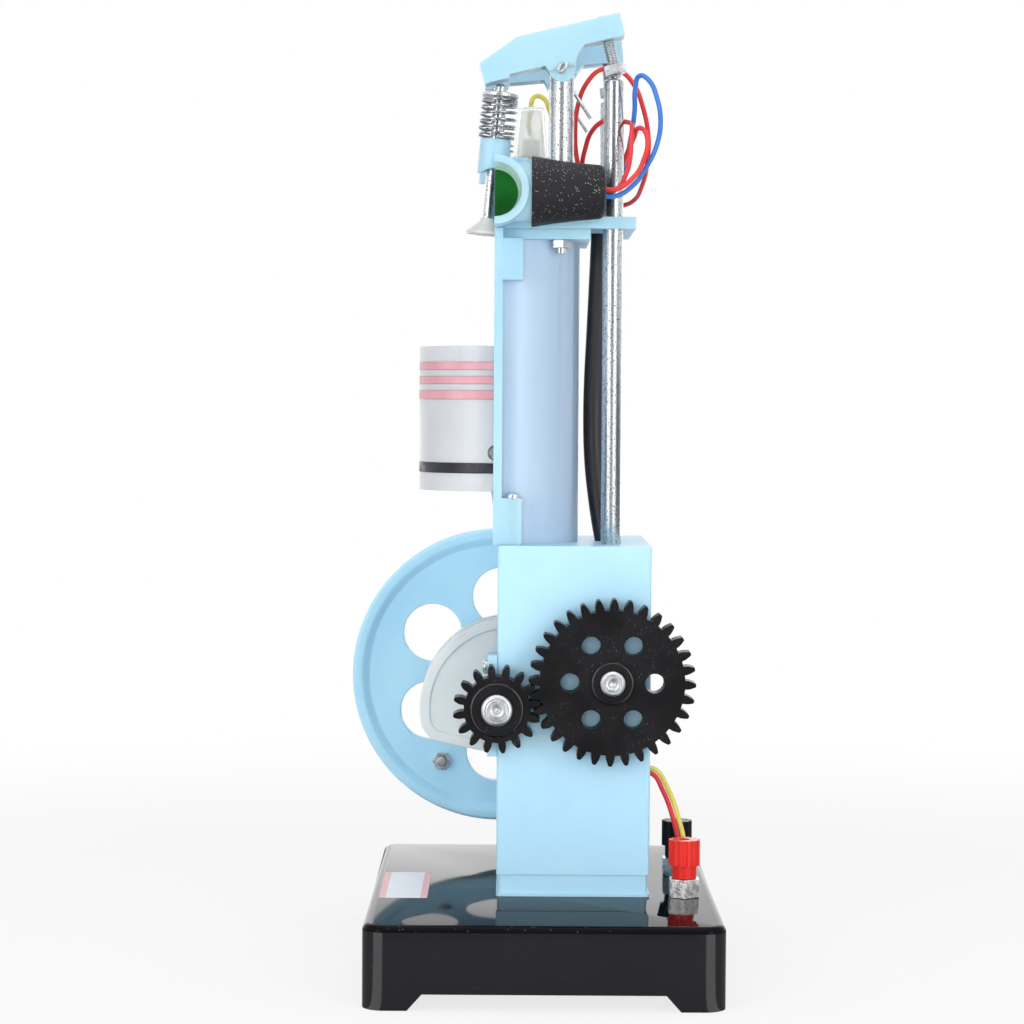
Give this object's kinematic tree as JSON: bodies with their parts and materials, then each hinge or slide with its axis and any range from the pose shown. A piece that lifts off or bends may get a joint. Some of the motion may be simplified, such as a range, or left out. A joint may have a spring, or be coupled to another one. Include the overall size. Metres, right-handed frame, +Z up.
{
  "type": "model four-stroke engine",
  "caption": "Hand-turned cut-away model of a single-cylinder four-stroke engine: open crankcase, piston, timing gears, cams, push rods, rockers, valves and port lamps on a tray base.",
  "frame": {"origin": "centre of the bounding box, on the plane that the feet stand on", "axes": "+Z up, -Y towards the cut-open front, +X towards the timing gears"},
  "size_m": [0.2314, 0.1468, 0.3711],
  "materials": {
    "sky_plastic": "satin moulded plastic",
    "wheel_plastic": "satin moulded plastic",
    "base_plastic": "high gloss",
    "gear_plastic": "satin moulded plastic",
    "zinc_steel": "zinc plated",
    "spring_steel": "bright drawn wire",
    "web_plastic": "milky translucent",
    "piston_plastic": "satin",
    "ring_pink": "satin",
    "oil_ring_dark": "matte",
    "valve_grey": "satin",
    "boot_rubber": "matte",
    "green_lens": "clear coloured plastic",
    "red_lens": "clear coloured plastic",
    "bulb_glass": "clear",
    "cap_clear": "milky translucent",
    "nickel": "bright nickel",
    "red_plastic": "gloss",
    "sleeve_black": "matte",
    "wire_red": "smooth insulation",
    "wire_blue": "smooth insulation",
    "wire_yellow": "smooth insulation"
  },
  "bodies": {
    "frame_body": {"base": "base_plastic", "crankcase": "sky_plastic", "case_screws": "zinc_steel", "bearing_cap_near": "sky_plastic", "bearing_cap_far": "sky_plastic", "cap_screws": "zinc_steel", "cut_cylinder": "sky_plastic", "cylinder_screws": "zinc_steel", "cylinder_head": "sky_plastic", "rocker_posts": "zinc_steel", "post_nuts": "zinc_steel", "inlet_rocker_pin": "zinc_steel", "exhaust_rocker_pin": "zinc_steel", "inlet_spring": "spring_steel", "exhaust_spring": "spring_steel", "inlet_lens": "green_lens", "exhaust_lens": "red_lens", "lamp_boots": "boot_rubber", "lamp_bulbs": "bulb_glass", "spark_lamp": "bulb_glass", "spark_cap": "cap_clear", "terminal_collars": "nickel", "terminal_studs": "zinc_steel", "wire_sleeve": "sleeve_black", "red_wires": "wire_red", "blue_wire": "wire_blue", "yellow_wires": "wire_yellow"},
    "crank_body": {"crank_stub_near": "zinc_steel", "crank_stub_far": "zinc_steel", "crank_web_near": "web_plastic", "crank_web_far": "web_plastic", "crank_pinion": "gear_plastic", "flywheel": "wheel_plastic", "handle_bolt": "zinc_steel", "handle_nut": "zinc_steel"},
    "grip_body": {"handle_grip": "gear_plastic"},
    "cam_body": {"camshaft": "zinc_steel", "cam_gear": "gear_plastic", "inlet_cam": "web_plastic", "exhaust_cam": "web_plastic"},
    "piston_body": {"piston": "piston_plastic", "piston_rings": "ring_pink", "oil_ring": "oil_ring_dark", "wrist_pin": "zinc_steel"},
    "rod_body": {"connecting_rod": "sky_plastic", "crank_pin": "zinc_steel"},
    "inlet_rocker_body": {"inlet_rocker": "sky_plastic", "inlet_adjuster": "zinc_steel"},
    "inlet_push_body": {"inlet_push_rod": "zinc_steel"},
    "inlet_valve_body": {"inlet_valve": "valve_grey", "inlet_spring_washer": "zinc_steel"},
    "exhaust_rocker_body": {"exhaust_rocker": "sky_plastic", "exhaust_adjuster": "zinc_steel"},
    "exhaust_push_body": {"exhaust_push_rod": "zinc_steel"},
    "exhaust_valve_body": {"exhaust_valve": "valve_grey", "exhaust_spring_washer": "zinc_steel"},
    "red_cap_body": {"red_terminal_cap": "red_plastic"},
    "black_cap_body": {"black_terminal_cap": "gear_plastic"}
  },
  "joints": [
    {"name": "crank_turn", "type": "hinge", "parent": "frame_body", "child": "crank_body", "pos_m": [0.0087, -0.01105, 0.1044], "axis": [1, 0, 0], "continuous": true},
    {"name": "cam_turn", "type": "hinge", "parent": "frame_body", "child": "cam_body", "pos_m": [0.0087, 0.03274, 0.11475], "axis": [1, 0, 0], "continuous": true},
    {"name": "handle_spin", "type": "hinge", "parent": "crank_body", "child": "grip_body", "pos_m": [-0.0963, -0.03523, 0.06716], "axis": [1, 0, 0], "continuous": true},
    {"name": "piston_slide", "type": "slide", "parent": "frame_body", "child": "piston_body", "axis": [0, 0, 1], "range_m": [-0.00591, 0.03809]},
    {"name": "rod_swing", "type": "hinge", "parent": "piston_body", "child": "rod_body", "pos_m": [0.0087, -0.01225, 0.20131], "axis": [1, 0, 0], "range_deg": [-19.54, 2.91]},
    {"name": "inlet_rocker_tilt", "type": "hinge", "parent": "frame_body", "child": "inlet_rocker_body", "pos_m": [0.0357, 0.01255, 0.3493], "axis": [1, 0, 0], "range_deg": [-8, 3.5]},
    {"name": "inlet_push_slide", "type": "slide", "parent": "frame_body", "child": "inlet_push_body", "axis": [0, 0, 1], "range_m": [-0.00284, 0.00124]},
    {"name": "inlet_valve_slide", "type": "slide", "parent": "frame_body", "child": "inlet_valve_body", "axis": [0, 0.0889, 0.996], "range_m": [-0.00149, 0.0034], "deforming": ["inlet_spring"]},
    {"name": "exhaust_rocker_tilt", "type": "hinge", "parent": "frame_body", "child": "exhaust_rocker_body", "pos_m": [-0.0183, 0.01255, 0.3493], "axis": [1, 0, 0], "range_deg": [0, 11.5]},
    {"name": "exhaust_push_slide", "type": "slide", "parent": "frame_body", "child": "exhaust_push_body", "axis": [0, 0, 1], "range_m": [0, 0.00407]},
    {"name": "exhaust_valve_slide", "type": "slide", "parent": "frame_body", "child": "exhaust_valve_body", "axis": [0, 0.0889, 0.996], "range_m": [-0.00496, 0], "deforming": ["exhaust_spring"]},
    {"name": "red_cap_turn", "type": "hinge", "parent": "frame_body", "child": "red_cap_body", "pos_m": [0.0517, 0.06145, 0.045], "axis": [0, 0, 1], "range_deg": [0, 1080]},
    {"name": "black_cap_turn", "type": "hinge", "parent": "frame_body", "child": "black_cap_body", "pos_m": [0.0027, 0.06145, 0.045], "axis": [0, 0, 1], "range_deg": [0, 1080]}
  ],
  "couplings": [
    {"joint": "cam_turn", "follows": "crank_turn", "ratio": -0.5},
    {"joint": "inlet_rocker_tilt", "follows": "inlet_push_slide", "rad_per_m": 49.081},
    {"joint": "inlet_valve_slide", "follows": "inlet_push_slide", "ratio": -1.1925},
    {"joint": "exhaust_rocker_tilt", "follows": "exhaust_push_slide", "rad_per_m": 49.299},
    {"joint": "exhaust_valve_slide", "follows": "exhaust_push_slide", "ratio": -1.2177}
  ]
}
